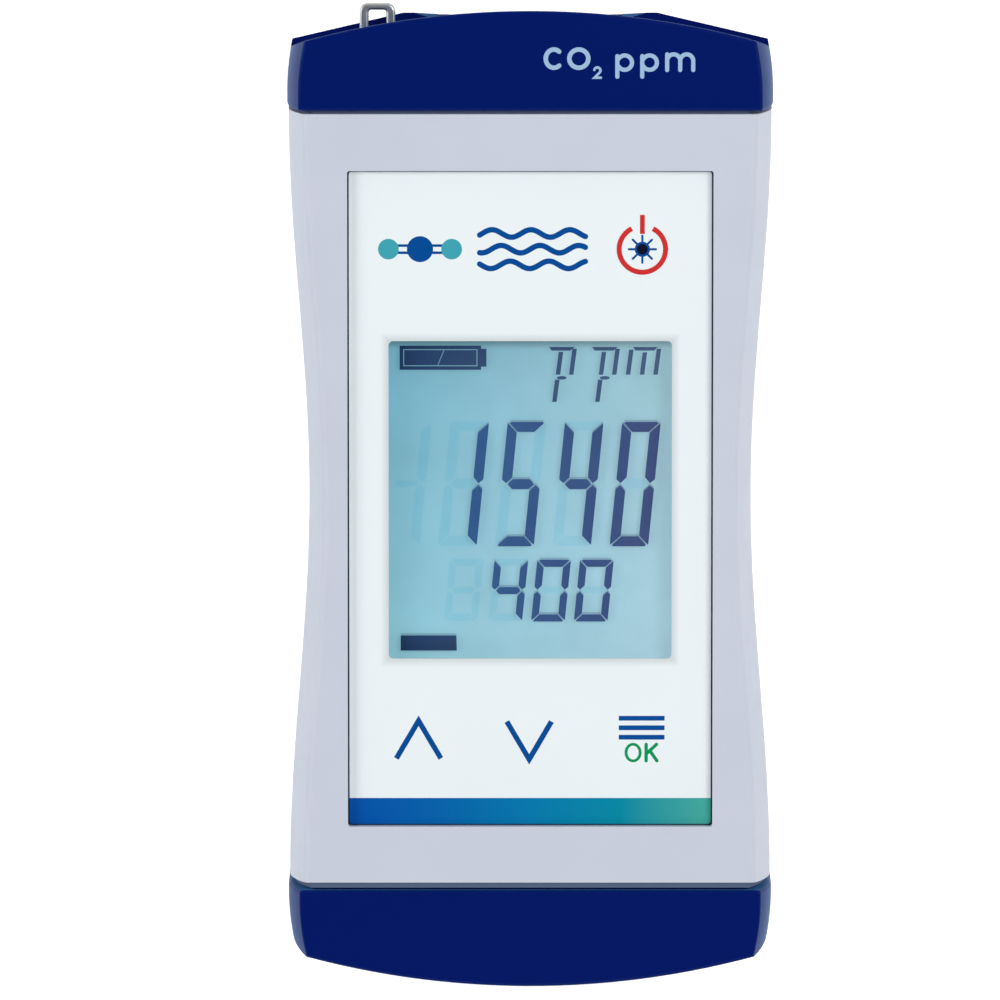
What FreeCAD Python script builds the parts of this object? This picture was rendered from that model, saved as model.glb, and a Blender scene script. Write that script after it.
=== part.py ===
import FreeCAD, Part
import math
import os

# Hand-held carbon dioxide monitor, in millimetres. It lies on its back: +Z leaves the display,
# +Y points to the end with the lanyard eye, and the origin is on the back, at the middle of the case.
# A waisted grey case of two shells is closed at both ends by dark blue caps. The lower cap
# covers two AA cells and pulls off when its screw is loosened.

Vector = FreeCAD.Vector

# Driving dimensions
THICKNESS = 28.0
TOP_END = 54.5  # how far each cap's curved end reaches from the origin
BATTERY_END = 54.8
CAP_HALF_WIDTH = 26.95
CASE_HALF_WIDTH = 26.8  # at the ends of the case
WAIST_HALF_WIDTH = 24.57  # half way along it
CASE_HALF_LENGTH = 43.0
WALL = 2.0
FACET_WIDTH = 1.8  # the side of the case leans in by this much up to the front
CAP_FACET_WIDTH = 1.35
SHOULDER_Z = 21.0  # the side stands upright below this
BACK_RADIUS = 7.0
BACK_TRIM = 0.05  # the sections reach this far below the back, which is then cut flat
SEAM_Z = 14.0  # the two shells meet here
SEAM_LAP = 1.0  # height of the tongue and groove
RIDGE_ROUND = 0.9  # along the two long front edges of the case
CAP_ROUND = 0.35  # along the front edges and the rim of a cap

FRAME_SLOPE = 9.0  # degrees, of the dished frame round the keypad
FRAME_Z = 27.25  # its inner edge
RECESS_HALF_WIDTH = 20.26
RECESS_HALF_LENGTH = 36.7
RECESS_CORNER = 0.3
FOIL_GAP = 0.18
SPACER_GAP = 0.03

CIRCUIT_THICKNESS = 0.1
SPACER_THICKNESS = 0.35
FOIL_THICKNESS = 0.2
FOIL_TOP = 27.1

TOP_GAP = 0.35  # between the case and the top cap
BOTTOM_GAP = 0.9  # between the case and the battery cap
BROW_Z = 16.5  # underside of each cap's curved brow
BROW_SAGITTA = 3.4  # its rise over the chord below
BROW_HALF_CHORD = 25.2
END_DRAFT = 7.5  # degrees; the end walls recede towards the back
SIDE_CURVE_Y = 45.0  # beyond this the sides of a cap curve in
SIDE_CURVE_RADIUS = 26.0
HUMP_Y = 53.1  # end of the lower half of a cap
HUMP_HALF_WIDTH = 14.1
HUMP_SLOPE = 13.2  # degrees, from the hump down to each side
HEEL_Z = 12.0  # the end curves towards the back below this
HEEL_RADIUS = 13.0
SPIGOT_LENGTH = 3.7

EYE_X = -16.95  # lanyard eye
EYE_Z = 18.5
EYE_TOP = 54.35
EYE_ROOT = 48.6
EYE_HALF_WIDTH = 1.98
EYE_LEG = 1.0  # width of a leg
EYE_BAR = 0.7  # width of the bar across them
EYE_THICKNESS = 1.1
EYE_CLEARANCE = 0.03

CELL_RADIUS = 7.25
CELL_LENGTH = 50.5
NUB_LENGTH = 1.5
CELL_X = 7.9
CELL_Z = 10.8

KEY_X = 12.4
POWER_KEY_Y = 27.9
KEY_ROW_Y = -27.0
KEY_RADIUS = 5.2
KEY_RISE = 0.25  # of its cushioned middle over the foil
KEY_CLEARANCE = 0.1
KEYS = {
    "power": (KEY_X, POWER_KEY_Y),
    "up": (-KEY_X, KEY_ROW_Y),
    "down": (0, KEY_ROW_Y),
    "menu": (KEY_X, KEY_ROW_Y),
}

SCREW_POST = 2.6  # radius round a case screw
CASE_SCREW_X = 19.2
CASE_SCREW_Y = 31.0
BOARD_SCREW_X = 15.3
BOARD_SCREW_Y = 36.2
CAP_SCREW_X = 12.0
CAP_SCREW_Y = 41.2
BOSS_RADIUS = 2.2  # of the rear shell's boss for the battery cap screw
BOSS_END = -35.0
BATTERY_SCREW_Z = 4.6
SCREW_SEAT_Y = 46.6  # under its head, in the battery cap

# Worked out from those
CASE_SCREWS = [(side * CASE_SCREW_X, end * CASE_SCREW_Y) for side in (-1, 1) for end in (-1, 1)]
BOARD_SCREWS = [(side * BOARD_SCREW_X, end * BOARD_SCREW_Y) for side in (-1, 1) for end in (-1, 1)]
RECESS_Z = FOIL_TOP - FOIL_THICKNESS - SPACER_THICKNESS - CIRCUIT_THICKNESS
FRONT_WALL_Z = RECESS_Z - 1.6  # inside of the front wall
DOME_Z = RECESS_Z + CIRCUIT_THICKNESS

# Display, from the front down to the main board
WINDOW_HALF_WIDTH = 15.7
WINDOW_LOW, WINDOW_HIGH = -17.92, 17.64
PANE_HALF_WIDTH = 17.6
PANE_LOW, PANE_HIGH = -21.4, 19.4
PANE_Z = (FOIL_TOP - FOIL_THICKNESS - 0.9, FOIL_TOP - FOIL_THICKNESS)
VIEW_LOW = -18.8  # lower edge of the display's films
POLARISER_Z = (PANE_Z[0] - 0.2, PANE_Z[0])
GLASS_Z = (POLARISER_Z[0] - 1.1, POLARISER_Z[0])
REFLECTOR_Z = (GLASS_Z[0] - 0.2, GLASS_Z[0])
BACKLIGHT_Z = (REFLECTOR_Z[0] - 2.0, REFLECTOR_Z[0])
BOARD_Z = (19.65, 21.25)
BOARD_HALF_WIDTH = 18.0
BOARD_HALF_LENGTH = 38.3

# Gas sensor, behind the top cap
SENSOR_LOW, SENSOR_HIGH = 18.0, 41.5
SENSOR_BOARD_Z = (15.2, 16.4)
CAVITY_HALF_WIDTH = 13.0
CAVITY_Z = 5.0
DIP_SAGITTA = 2.0  # hollow in the end of the top cap, where the gas slots are
DIP_HALF_WIDTH = 13.0

# Battery contacts
INNER_CONTACT_Y = 11.0
CAP_CONTACT_Y = -44.3
CONTACT_THICKNESS = 0.4
SPRING_LENGTH = INNER_CONTACT_Y - CAP_CONTACT_Y - CELL_LENGTH


def box(x0, x1, y0, y1, z0, z1):
    return Part.makeBox(x1 - x0, y1 - y0, z1 - z0, Vector(x0, y0, z0))


def upright(x, y, z0, z1, radius):
    """A cylinder along Z."""
    return Part.makeCylinder(radius, z1 - z0, Vector(x, y, z0))


def lengthwise(x, z, y0, y1, radius):
    """A cylinder along Y."""
    return Part.makeCylinder(radius, y1 - y0, Vector(x, y0, z), Vector(0, 1, 0))


def slab(z0, z1):
    """Everything between two heights."""
    reach = 60.0
    return box(-reach, reach, -reach, reach, z0, z1)


def fused(shapes):
    whole = shapes[0]
    for shape in shapes[1:]:
        whole = whole.fuse(shape)
    return whole.removeSplitter()


def to_lower_end(shape):
    """The same shape at the other end of the case."""
    return shape.mirror(Vector(0, 0, 0), Vector(0, 1, 0))


def save(name, shape):
    shape.exportStep(f"parts/{name}.step")


# Cross sections of the case


def outline(y, half_width, facet, front_z, shoulder_z, back_radius, back_z):
    """Closed outline across the case: flat front, curved shoulders, upright sides, round back edges."""
    front_half = half_width - facet
    rise = front_z - shoulder_z
    shoulder_radius = (facet**2 + rise**2) / (2 * facet)
    half_angle = math.asin(rise / shoulder_radius) / 2
    shoulder_x = half_width - shoulder_radius * (1 - math.cos(half_angle))
    shoulder_middle_z = shoulder_z + shoulder_radius * math.sin(half_angle)
    corner = back_radius * (1 - math.sqrt(0.5))

    def at(side, x, z):
        return Vector(side * x, y, z)

    def arc(side, start, middle, end):
        return Part.Arc(at(side, *start), at(side, *middle), at(side, *end)).toShape()

    front = (front_half, front_z)
    shoulder = (half_width, shoulder_z)
    side_foot = (half_width, back_z + back_radius)
    back = (half_width - back_radius, back_z)
    turn = (half_width - corner, back_z + corner)
    bulge = (shoulder_x, shoulder_middle_z)
    edges = [
        Part.makeLine(at(-1, *front), at(1, *front)),
        arc(1, front, bulge, shoulder),
        Part.makeLine(at(1, *shoulder), at(1, *side_foot)),
        arc(1, side_foot, turn, back),
        Part.makeLine(at(1, *back), at(-1, *back)),
        arc(-1, back, turn, side_foot),
        Part.makeLine(at(-1, *side_foot), at(-1, *shoulder)),
        arc(-1, shoulder, bulge, front),
    ]
    return Part.Wire(edges)


def outer_outline(y, half_width, inset=0.0, facet=FACET_WIDTH):
    return outline(
        y,
        half_width - inset,
        facet,
        THICKNESS - inset,
        SHOULDER_Z,
        BACK_RADIUS - inset,
        inset - BACK_TRIM,
    )


def inner_outline(y, half_width, inset=0.0):
    return outline(
        y,
        half_width - WALL - inset,
        FACET_WIDTH + WALL,
        FRONT_WALL_Z - inset,
        SHOULDER_Z - WALL,
        BACK_RADIUS - WALL,
        WALL + inset,
    )


def case_half_width(y):
    """The waist is a cosine wave between the ends of the case."""
    share = (1 - math.cos(math.pi * y / CASE_HALF_LENGTH)) / 2
    return WAIST_HALF_WIDTH + (CASE_HALF_WIDTH - WAIST_HALF_WIDTH) * share


def waisted(shape_of, half_length, inset=0.0):
    """A solid through the cross sections of the case, from one end to the other."""
    steps = 6
    stations = [half_length * step / steps for step in range(-steps, steps + 1)]
    wires = [shape_of(y, case_half_width(y), inset) for y in stations]
    return Part.makeLoft(wires, True, False)


def straight(wire, length):
    """A solid of one cross section, drawn out along +Y."""
    return Part.Face(wire).extrude(Vector(0, length, 0))


# Case


def dished_frame():
    """The space above the sloping frame: a pyramid that opens towards the front."""
    run = 8.0
    rise = run * math.tan(math.radians(FRAME_SLOPE))

    def rectangle(grow, z):
        x = RECESS_HALF_WIDTH + grow
        y = RECESS_HALF_LENGTH + grow
        corners = [Vector(-x, -y, z), Vector(x, -y, z), Vector(x, y, z), Vector(-x, y, z)]
        return Part.makePolygon(corners + corners[:1])

    return Part.makeLoft([rectangle(0, FRAME_Z), rectangle(run, FRAME_Z + rise)], True, True)


def foil_recess():
    recess = box(
        -RECESS_HALF_WIDTH,
        RECESS_HALF_WIDTH,
        -RECESS_HALF_LENGTH,
        RECESS_HALF_LENGTH,
        RECESS_Z,
        THICKNESS + 1,
    )
    return rounded_upright_edges(recess, RECESS_CORNER)


def upright_edges(shape):
    return [e for e in shape.Edges if e.BoundBox.ZLength > 0.01]


def rounded_upright_edges(shape, radius):
    return shape.makeFillet(radius, upright_edges(shape))


def lap(inset):
    """The ring inside the wall where the shells overlap at the seam."""
    ring = waisted(outer_outline, CASE_HALF_LENGTH + 0.01, inset)
    return ring.common(slab(SEAM_Z - SEAM_LAP, SEAM_Z))


def ridge_edges(shape):
    """The two long front edges of the case."""
    found = []
    for edge in shape.Edges:
        bounds = edge.BoundBox
        long_side = bounds.YLength > CASE_HALF_LENGTH and bounds.ZMin > FRAME_Z
        outside = min(abs(bounds.XMin), abs(bounds.XMax)) > RECESS_HALF_WIDTH + 1
        if long_side and outside:
            found.append(edge)
    return found


def front_shell(tube, inside):
    shell = tube.common(slab(SEAM_Z, THICKNESS + 1))
    shell = shell.cut(dished_frame())
    shell = shell.makeFillet(RIDGE_ROUND, ridge_edges(shell))
    shell = shell.fuse(lap(WALL / 2).cut(inside))
    shell = shell.cut(foil_recess())
    post_top = RECESS_Z - 0.5
    posts = [upright(x, y, SEAM_Z, post_top, SCREW_POST) for x, y in CASE_SCREWS]
    posts += [upright(x, y, BOARD_Z[1], post_top, 2.0) for x, y in BOARD_SCREWS]
    shell = fused([shell] + posts)
    play = 0.2
    holes = [upright(x, y, SEAM_Z - SEAM_LAP, SEAM_Z + 8, 0.95) for x, y in CASE_SCREWS]
    holes += [upright(x, y, BOARD_Z[1] - 1, BOARD_Z[1] + 3, 0.65) for x, y in BOARD_SCREWS]
    holes.append(pane_block(play, 20, 40))
    holes.append(keypad_tail(0.4))
    for hole in holes:
        shell = shell.cut(hole)
    return shell.removeSplitter()


def rear_shell(tube, inside, envelope):
    shell = tube.common(slab(0, SEAM_Z))
    shell = shell.cut(lap(WALL / 2 - 0.05))
    bosses = []
    for x, y in CASE_SCREWS:
        bosses.append(upright(x, y, 0.5, SEAM_Z - 0.02, SCREW_POST))
        bosses.append(upright(x, y, 0.5, 5, 3.4))
    boss_low = 0.1 - CASE_HALF_LENGTH
    bosses.append(lengthwise(0, BATTERY_SCREW_Z, boss_low, BOSS_END, BOSS_RADIUS))
    bosses.append(box(-BOSS_RADIUS, BOSS_RADIUS, boss_low, BOSS_END, 1, BATTERY_SCREW_Z))
    shell = fused([shell] + [boss.common(envelope) for boss in bosses])
    holes = []
    for x, y in CASE_SCREWS:
        holes.append(upright(x, y, -1, SEAM_Z + 1, 1.3))
        holes.append(upright(x, y, -1, 3, 2.4))
    for side in (-1, 1):
        holes.append(upright(side * CAP_SCREW_X, CAP_SCREW_Y, -1, WALL + 1, 1.1))
        holes.append(countersink(side * CAP_SCREW_X, CAP_SCREW_Y, 2.05))
    holes.append(lengthwise(0, BATTERY_SCREW_Z, -CASE_HALF_LENGTH, BOSS_END - 1, 1.1))
    holes.append(lengthwise(0, BATTERY_SCREW_Z, -CASE_HALF_LENGTH, -37.9, 1.6))
    holes.append(label_plate(0.25, 0.0, 0.3))
    for hole in holes:
        shell = shell.cut(hole)
    return shell.removeSplitter()


def countersink(x, y, radius):
    """The cone under a flat screw head, widest at the back face."""
    depth = 1.1
    return Part.makeCone(radius, radius - depth, depth, Vector(x, y, 0.0))


def label_plate(grow, z0, z1):
    plate = box(-14 - grow, 14 + grow, 4 - grow, 26 + grow, z0, z1)
    return rounded_upright_edges(plate, 1.5 + grow)


# End caps, drawn at the upper end


def cap_half_width(y):
    """The sides are straight near the joint and curve in towards the end."""
    beyond = max(0.0, y - SIDE_CURVE_Y)
    return CAP_HALF_WIDTH - SIDE_CURVE_RADIUS + math.sqrt(SIDE_CURVE_RADIUS**2 - beyond**2)


def cap_tube(start, inset):
    """The cross section of a cap, carried on past its end."""
    steps = 8
    length = 56.0 - start
    stations = [start + length * step / steps for step in range(steps + 1)]
    wires = [outer_outline(y, cap_half_width(y), inset, CAP_FACET_WIDTH) for y in stations]
    return Part.makeLoft(wires, True, False)


def cap_plan(end, inset, dip):
    """Plan of a cap: the curved brow in front, and the lower hump behind it."""
    brow_radius = (BROW_HALF_CHORD**2 + BROW_SAGITTA**2) / (2 * BROW_SAGITTA)
    side = CAP_HALF_WIDTH + 1
    start = CASE_HALF_LENGTH
    top = THICKNESS + 1
    hump_top = BROW_Z + inset
    draft = math.tan(math.radians(END_DRAFT))
    front_radius = brow_radius - inset + draft * (top - THICKNESS)
    back_radius = front_radius - draft * top
    drafted = Part.makeCone(back_radius, front_radius, top, Vector(0, end - brow_radius, 0))
    brow = box(-side, side, start, 60.0, hump_top, top).common(drafted)
    slope = math.tan(math.radians(HUMP_SLOPE))

    def hump_section(z):
        """From the foot on the right, round the end, to the foot on the left."""
        hump_y = HUMP_Y - inset - draft * (hump_top - z)
        side_y = hump_y - (side - HUMP_HALF_WIDTH) * slope
        points = [(side, start), (side, side_y), (HUMP_HALF_WIDTH, hump_y)]
        points += [(-x, y) for x, y in reversed(points)]
        corners = [Vector(x, y, z) for x, y in points]
        return Part.makePolygon(corners + corners[:1])

    hump = Part.makeLoft([hump_section(-1), hump_section(hump_top)], True, True)
    if dip:
        dip_radius = (DIP_HALF_WIDTH**2 + DIP_SAGITTA**2) / (2 * DIP_SAGITTA)
        dip_centre = HUMP_Y - DIP_SAGITTA + dip_radius
        hump = hump.cut(upright(0, dip_centre, -2, hump_top, dip_radius + inset))
    return brow.fuse(hump)


def cap_side(inset):
    """Side view of a cap: upright at the end, with a round heel towards the back."""
    centre_y = HUMP_Y - HEEL_RADIUS
    radius = HEEL_RADIUS - inset
    start = CASE_HALF_LENGTH - 1
    drop = HEEL_Z - inset
    foot_y = centre_y + math.sqrt(radius**2 - drop**2)
    half_turn = math.asin(drop / radius) / 2
    foot = Vector(-30, foot_y, inset)
    middle = Vector(-30, centre_y + radius * math.cos(half_turn), HEEL_Z - radius * math.sin(half_turn))
    heel_top = Vector(-30, centre_y + radius, HEEL_Z)
    far = 60.0
    edges = [
        Part.makeLine(Vector(-30, start, inset), foot),
        Part.Arc(foot, middle, heel_top).toShape(),
        Part.makePolygon(
            [
                heel_top,
                Vector(-30, centre_y + radius, BROW_Z - 0.5),
                Vector(-30, far, BROW_Z - 0.5),
                Vector(-30, far, THICKNESS + 1),
                Vector(-30, start, THICKNESS + 1),
                Vector(-30, start, inset),
            ]
        ),
    ]
    return Part.Face(Part.Wire(edges)).extrude(Vector(60, 0, 0))


def cap_block(start, end, inset, dip):
    """The solid cap, smaller all round by inset."""
    return cap_tube(start, inset).common(cap_plan(end, inset, dip)).common(cap_side(inset))


def soften_cap(block, start):
    """Rounds the front edges of a cap, and the rim next to the case."""
    soft = []
    for edge in block.Edges:
        bounds = edge.BoundBox
        on_front = bounds.ZMin > THICKNESS - 0.01
        on_rim = bounds.YMax < start + 0.01 and bounds.ZMax > 0.01
        if on_front or on_rim:
            soft.append(edge)
    return block.makeFillet(CAP_ROUND, soft)


def hollow_cap(start, end, dip):
    """A cap with its spigot, which slides into the case."""
    flange = 1.5
    block = soften_cap(cap_block(start, end, 0, dip), start)
    hollow = cap_block(start + flange, end, WALL, dip)
    spigot_start = start - SPIGOT_LENGTH
    clearance = 0.2
    wall = 1.0
    spigot = straight(inner_outline(spigot_start, CASE_HALF_WIDTH, clearance), SPIGOT_LENGTH + 0.01)
    throat = inner_outline(spigot_start - 1, CASE_HALF_WIDTH, clearance + wall)
    return block.cut(hollow).fuse(spigot).cut(straight(throat, SPIGOT_LENGTH + 3)).removeSplitter()


def top_cap():
    start = CASE_HALF_LENGTH + TOP_GAP
    pad = 2.2
    cap = hollow_cap(start, TOP_END, True)
    for side in (-1, 1):
        x = side * CAP_SCREW_X
        cap = cap.fuse(box(x - pad, x + pad, start - SPIGOT_LENGTH, start, 2.2, 4.8))
    cap = cap.removeSplitter()
    slot_half_width = 0.65
    slot_pitch = 3.2
    for number in range(-3, 4):
        x = number * slot_pitch
        cap = cap.cut(box(x - slot_half_width, x + slot_half_width, 47.5, 56, 9.0, 14.5))
    for side in (-1, 1):
        cap = cap.cut(upright(side * CAP_SCREW_X, CAP_SCREW_Y, 1, 5.5, 0.8))
    return cap.cut(eye_block(EYE_CLEARANCE)).fuse(eye_gap(-EYE_CLEARANCE).common(cap)).removeSplitter()


def battery_cap():
    start = CASE_HALF_LENGTH + BOTTOM_GAP
    cap = hollow_cap(start, BATTERY_END, False)
    step = straight(outer_outline(start - 0.3, CAP_HALF_WIDTH, 1.0), 0.31)
    step = step.cut(straight(inner_outline(start - 1, CASE_HALF_WIDTH, 1.5), 2))
    envelope = cap_block(start, BATTERY_END, 0.5, False)
    post = lengthwise(0, BATTERY_SCREW_Z, start + 0.6, 60, 3.0)
    backing = -CAP_CONTACT_Y + CONTACT_THICKNESS
    pillars = [lengthwise(side * CELL_X, CELL_Z, backing, 60, 3.0) for side in (-1, 1)]
    cap = fused([cap, step] + [shape.common(envelope) for shape in [post] + pillars])
    cap = cap.cut(box(-3, 3, 38, start + 0.6, 0.5, 7.5))
    cap = cap.fuse(floor_bridge(start))
    cap = cap.cut(lengthwise(0, BATTERY_SCREW_Z, 38, 60, 1.2))
    cap = cap.cut(lengthwise(0, BATTERY_SCREW_Z, SCREW_SEAT_Y, 60, 2.2))
    return to_lower_end(cap.removeSplitter())


def floor_bridge(start):
    """Closes the back of the cap under the slot that clears the screw boss."""
    whole = soften_cap(cap_block(start, BATTERY_END, 0, False), start)
    return whole.common(box(-3.2, 3.2, start, start + 0.7, -1, 7))


# Seals


def top_cap_seal():
    ring = straight(outer_outline(CASE_HALF_LENGTH + 0.01, CASE_HALF_WIDTH, 0.9), TOP_GAP - 0.02)
    return ring.cut(straight(inner_outline(CASE_HALF_LENGTH - 1, CASE_HALF_WIDTH, -0.1), 3))


def battery_cap_seal():
    wire = outline(
        CASE_HALF_LENGTH + 0.05,
        CASE_HALF_WIDTH - 0.6,
        FACET_WIDTH,
        THICKNESS - 0.2,
        SHOULDER_Z,
        BACK_RADIUS - 0.6,
        0.6,
    )
    ring = straight(wire, 0.55)
    ring = ring.cut(straight(inner_outline(CASE_HALF_LENGTH - 1, CASE_HALF_WIDTH, -0.1), 3))
    return to_lower_end(ring)


# Lanyard eye: a cast metal staple, its legs moulded into the cap under the brow


def eye_block(grow):
    half = EYE_HALF_WIDTH + grow
    half_thickness = EYE_THICKNESS / 2 + grow
    return box(
        EYE_X - half,
        EYE_X + half,
        EYE_ROOT - grow,
        EYE_TOP,
        EYE_Z - half_thickness,
        EYE_Z + half_thickness,
    )


def eye_gap(grow):
    """The opening between the legs, which runs down past their roots."""
    half = EYE_HALF_WIDTH - EYE_LEG + grow
    top = EYE_TOP - EYE_BAR
    gap = box(EYE_X - half, EYE_X + half, EYE_ROOT - 1, top, EYE_Z - 1, EYE_Z + 1)
    corners = [e for e in upright_edges(gap) if e.BoundBox.YMin > top - 0.01]
    return gap.makeFillet(0.3, corners)


def lanyard_eye():
    staple = eye_block(0)
    corners = [e for e in upright_edges(staple) if e.BoundBox.YMin > EYE_TOP - 0.01]
    staple = staple.makeFillet(0.9, corners)
    staple = staple.cut(eye_gap(0))
    rims = [e for e in staple.Edges if e.BoundBox.ZLength < 0.01 and e.BoundBox.YMax > EYE_ROOT + 0.1]
    return staple.makeFillet(0.28, rims)


# Keypad


def foil_sheet(gap, z0, z1, opening, hole_radius):
    """One layer of the keypad, with the display opening and a round hole at each key."""
    x = RECESS_HALF_WIDTH - gap
    y = RECESS_HALF_LENGTH - gap
    sheet = rounded_upright_edges(box(-x, x, -y, y, z0, z1), RECESS_CORNER)
    sheet = sheet.cut(opening)
    if hole_radius:
        for x, y in KEYS.values():
            sheet = sheet.cut(upright(x, y, z0 - 1, z1 + 1, hole_radius))
    return sheet


def front_overlay():
    base = FOIL_TOP - FOIL_THICKNESS
    window = box(-WINDOW_HALF_WIDTH, WINDOW_HALF_WIDTH, WINDOW_LOW, WINDOW_HIGH, base - 1, FOIL_TOP + 1)
    window = rounded_upright_edges(window, 0.5)
    return foil_sheet(FOIL_GAP, base, FOIL_TOP, window, KEY_RADIUS + KEY_CLEARANCE)


def pane_block(grow, z0, z1):
    """The space of the display's clear pane, larger all round by grow."""
    x = PANE_HALF_WIDTH + grow
    return rounded_upright_edges(box(-x, x, PANE_LOW - grow, PANE_HIGH + grow, z0, z1), 0.5)


def keypad_spacer():
    top = FOIL_TOP - FOIL_THICKNESS
    opening = pane_block(0.1, DOME_Z - 1, top + 1)
    return foil_sheet(SPACER_GAP, DOME_Z, top, opening, KEY_RADIUS + KEY_CLEARANCE)


def keypad_tail(grow):
    """The flat tail that carries the key contacts down to the main board."""
    return box(-12 - grow, -6 + grow, -34.9 - grow, -34.75 + grow, 22.4, RECESS_Z + 0.05)


def keypad_circuit():
    opening = pane_block(0.1, RECESS_Z - 1, DOME_Z + 1)
    sheet = foil_sheet(FOIL_GAP, RECESS_Z, DOME_Z, opening, 0)
    return sheet.fuse(keypad_tail(0)).removeSplitter()


def sphere_cap(x, y, base_z, base_radius, height):
    """The space under a shallow dome, for cutting."""
    radius = (base_radius**2 + height**2) / (2 * height)
    ball = Part.makeSphere(radius, Vector(x, y, base_z + height - radius))
    return ball.common(upright(x, y, base_z - 1, base_z + height + 1, base_radius))


def key(x, y):
    disc = sphere_cap(x, y, FOIL_TOP, KEY_RADIUS, KEY_RISE)
    return disc.common(upright(x, y, FOIL_TOP - FOIL_THICKNESS, FOIL_TOP + 1, KEY_RADIUS))


def snap_dome(x, y):
    height = SPACER_THICKNESS - 0.05
    above = upright(x, y, DOME_Z, DOME_Z + 1, 4.2)
    dome = sphere_cap(x, y, DOME_Z, 4.2, height).common(above)
    return dome.cut(sphere_cap(x, y, DOME_Z, 4.0, height - 0.08))


# Display


def lcd_layer(z_range, half_width=17.2, low=VIEW_LOW, high=19.1):
    return box(-half_width, half_width, low, high, *z_range)


def display_window():
    return pane_block(0, *PANE_Z)


def lcd_glass():
    """Two glass plates round the liquid crystal; the rear one is longer, for the contact strips."""
    middle = sum(GLASS_Z) / 2
    rear = box(-17.5, 17.5, PANE_LOW + 0.1, PANE_HIGH - 0.1, GLASS_Z[0], middle)
    front = box(-17.5, 17.5, VIEW_LOW - 0.1, PANE_HIGH - 0.1, middle, GLASS_Z[1])
    return rear.fuse(front).removeSplitter()


def lcd_frame():
    top = FRONT_WALL_Z - 0.1
    shelf_top = BACKLIGHT_Z[0]
    frame = box(-18.6, 18.6, PANE_LOW - 1.1, PANE_HIGH + 1.1, BOARD_Z[1], top)
    frame = frame.cut(box(-PANE_HALF_WIDTH, PANE_HALF_WIDTH, PANE_LOW, PANE_HIGH, shelf_top, top + 1))
    frame = frame.cut(box(-15.5, 15.5, PANE_LOW, VIEW_LOW - 0.3, BOARD_Z[1] - 1, top + 1))
    return frame.cut(box(-14, 14, -14, 14, BOARD_Z[1] - 1, top + 1))


def lcd_zebra_strips():
    strips = [box(-15.2, 15.2, y, y + 0.9, BOARD_Z[1], GLASS_Z[0]) for y in (-21.3, -20.2)]
    return Part.makeCompound(strips)


# Main board and what is soldered to it


def main_board():
    board = box(-BOARD_HALF_WIDTH, BOARD_HALF_WIDTH, -BOARD_HALF_LENGTH, BOARD_HALF_LENGTH, *BOARD_Z)
    for x, y in CASE_SCREWS:
        board = board.cut(upright(x, y, 0, 40, 3.0))
    for x, y in BOARD_SCREWS:
        board = board.cut(upright(x, y, 0, 40, 1.0))
    return board


def chip(x, y, length, width, height, leads):
    """A moulded chip on the front of the board, with flat leads along two sides."""
    z = BOARD_Z[1]
    body = box(x - length / 2, x + length / 2, y - width / 2, y + width / 2, z + 0.1, z + height)
    body = body.makeChamfer(0.15, [e for e in body.Edges if e.BoundBox.ZMin > z + height - 0.01])
    legs = []
    for number in range(leads):
        lead_x = x + (number - (leads - 1) / 2) * length / (leads + 1)
        legs.append(box(lead_x - 0.15, lead_x + 0.15, y - width / 2 - 0.8, y + width / 2 + 0.8, z, z + 0.2))
    return fused([body] + legs)


def capacitors():
    spots = [(-5, 23.5), (-2.5, 23.5), (0, 23.5), (9, -25.5), (12, -25.5), (12.5, -29), (-7, -25.5)]
    return Part.makeCompound(
        [box(x, x + 1.6, y, y + 0.8, BOARD_Z[1], BOARD_Z[1] + 0.8) for x, y in spots]
    )


def clock_crystal():
    can = box(-3.5, 3.5, 26, 28.4, BOARD_Z[1], BOARD_Z[1] + 2.2)
    return rounded_upright_edges(can, 1.1)


def power_inductor():
    x, y, z = 6.5, 33.5, BOARD_Z[1]
    core = box(x - 2.5, x + 2.5, y - 2.5, y + 2.5, z, z + 0.6)
    core = rounded_upright_edges(core, 0.6)
    rim = upright(x, y, z + 2.0, z + 2.4, 2.4)
    return fused([core, upright(x, y, z, z + 2.4, 1.5), rim])


def keypad_connector():
    block = box(-13, -5, -36, -33.6, BOARD_Z[1], BOARD_Z[1] + 2.0)
    return block.cut(keypad_tail(0.02))


def buzzer():
    z = BOARD_Z[1]
    can = upright(-9, 31.2, z, z + 3.0, 4.6)
    can = can.makeFillet(0.4, [e for e in can.Edges if e.BoundBox.ZMin > z + 2.9])
    return can.cut(upright(-9, 31.2, z + 2.0, z + 4, 0.8))


# Gas sensor


def sensor_board():
    return box(-15, 15, SENSOR_LOW, SENSOR_HIGH, *SENSOR_BOARD_Z)


def sensor_cavity():
    """The gold coated light path: a box with a rounded far end, open to the air through its end wall."""
    x = CAVITY_HALF_WIDTH
    low, high = SENSOR_LOW + 1.5, SENSOR_HIGH
    shell = box(-x, x, low, high, CAVITY_Z, SENSOR_BOARD_Z[0])
    shell = shell.makeFillet(2.0, [e for e in shell.Edges if e.BoundBox.ZMax < CAVITY_Z + 0.01])
    shell = shell.cut(box(-x + 1, x - 1, low + 1, high - 1, CAVITY_Z + 1, SENSOR_BOARD_Z[0]))
    for number in range(-4, 5):
        shell = shell.cut(lengthwise(number * 2.4, 10, high - 2, high + 1, 0.8))
    return shell


def infrared_lamp():
    glass = lengthwise(-7, 10, SENSOR_LOW + 4.5, SENSOR_LOW + 8.5, 1.6)
    return glass.fuse(Part.makeSphere(1.6, Vector(-7, SENSOR_LOW + 8.5, 10)))


def infrared_detector():
    can = lengthwise(7, 10.1, SENSOR_LOW + 3.2, SENSOR_LOW + 6.7, 3.5)
    flange = lengthwise(7, 10.1, SENSOR_LOW + 2.6, SENSOR_LOW + 3.2, 4.0)
    return can.fuse(flange)


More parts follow.
